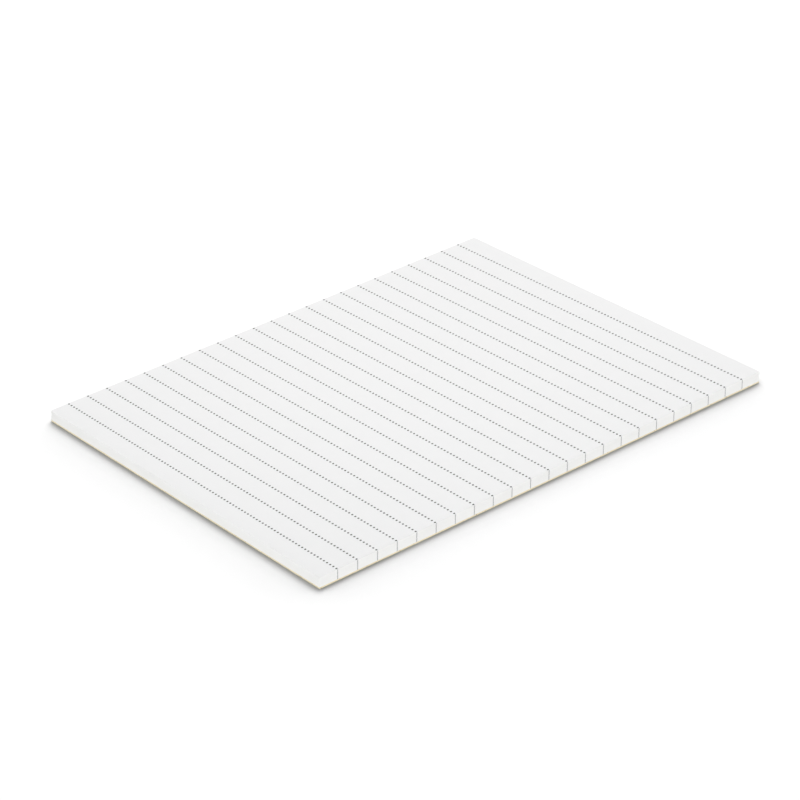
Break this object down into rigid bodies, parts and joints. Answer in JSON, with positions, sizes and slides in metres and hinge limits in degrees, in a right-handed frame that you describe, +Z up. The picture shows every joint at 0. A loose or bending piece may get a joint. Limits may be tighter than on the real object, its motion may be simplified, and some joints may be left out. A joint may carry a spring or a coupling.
{
  "type": "legal pad",
  "caption": "White writing pad lying flat: dot-ruled sheets trimmed square on a stiff chipboard back and glued along the head end.",
  "frame": {"origin": "on the table, under the middle of the pad's whole length, the glue film and the lean of the sheets included", "axes": "+X along the rules to the right edge of the sheets, +Y from the foot to the glued head, +Z up out of the writing face"},
  "size_m": [0.2032, 0.2548, 0.0054],
  "materials": {
    "chipboard": "uncoated recycled chipboard",
    "sheet_paper": "smooth white wove writing paper",
    "padding_compound": "brushed white padding glue, soft sheen",
    "rule_ink": "matt dark grey printing ink",
    "edge_ink": "ink seen on the cut ends of the sheets"
  },
  "bodies": {
    "root": {"back_board": "chipboard", "page_block": "sheet_paper", "head_glue": "padding_compound", "rule_print": "rule_ink", "edge_print": "edge_ink"}
  },
  "joints": []
}
